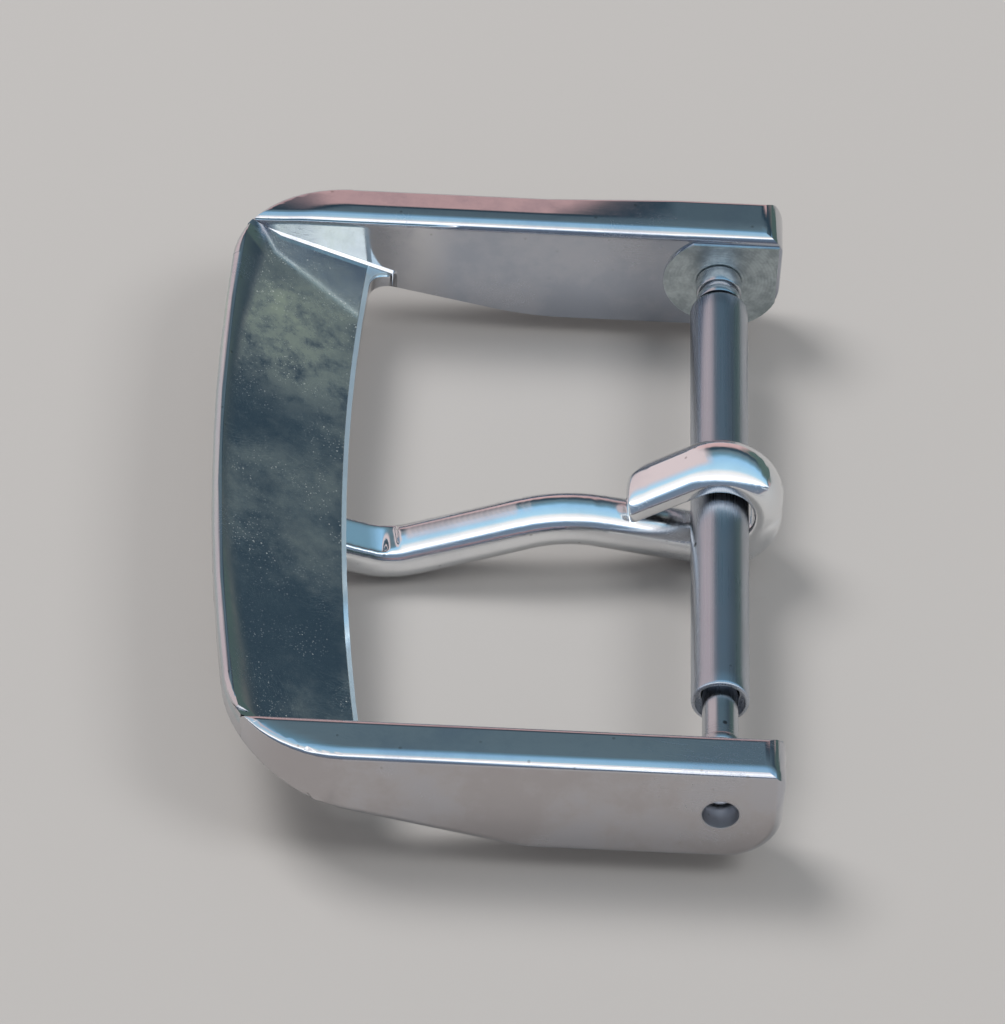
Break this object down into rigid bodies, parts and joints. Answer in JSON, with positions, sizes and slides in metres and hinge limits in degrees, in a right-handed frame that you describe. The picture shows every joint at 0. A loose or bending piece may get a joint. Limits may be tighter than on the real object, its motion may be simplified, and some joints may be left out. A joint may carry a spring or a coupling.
{
  "type": "pin buckle for a watch strap",
  "caption": "Pin buckle for a wrist watch strap: a curved bar plate with two arms, a swinging wire tongue and a sprung bar between the arms.",
  "frame": {"origin": "on the spring bar's axis, midway between the arms", "axes": "+X from the bar plate to the arm ends, +Y along the spring bar, +Z out of the wrist side"},
  "size_m": [0.0147, 0.0208, 0.0038],
  "materials": {
    "plated_frame": "polished nickel plate with fine scratches, and cloudy smudges on the bar plate",
    "plated_wire": "bright polished nickel plate with a few tool marks",
    "bar_steel": "satin stainless steel with fine turning lines",
    "spring_steel": "drawn spring wire"
  },
  "bodies": {
    "frame": {"buckle_frame": "plated_frame"},
    "tongue": {"tongue": "plated_wire"},
    "tube": {"spring_bar_tube": "bar_steel", "bar_spring": "spring_steel"},
    "far_plunger": {"far_plunger": "bar_steel"},
    "near_plunger": {"near_plunger": "bar_steel"}
  },
  "joints": [
    {"name": "tongue_hinge", "type": "hinge", "parent": "frame", "child": "tongue", "pos_m": [0, 0.001, 0], "axis": [0, -1, 0], "range_deg": [0, 345]},
    {"name": "near_plunger_slide", "type": "slide", "parent": "frame", "child": "near_plunger", "axis": [0, 1, 0], "range_m": [0, 0.00083], "stiffness_N_per_m": 1500, "springref_m": -0.001, "deforming": ["bar_spring"]},
    {"name": "far_plunger_slide", "type": "slide", "parent": "frame", "child": "far_plunger", "axis": [0, -1, 0], "range_m": [0, 0.00083], "stiffness_N_per_m": 1500, "springref_m": -0.001, "deforming": ["bar_spring"]},
    {"name": "tube_slide", "type": "slide", "parent": "frame", "child": "tube", "axis": [0, -1, 0], "range_m": [0, 0.00068]}
  ],
  "couplings": [
    {"joint": "tube_slide", "follows": "far_plunger_slide", "ratio": 0.81}
  ]
}
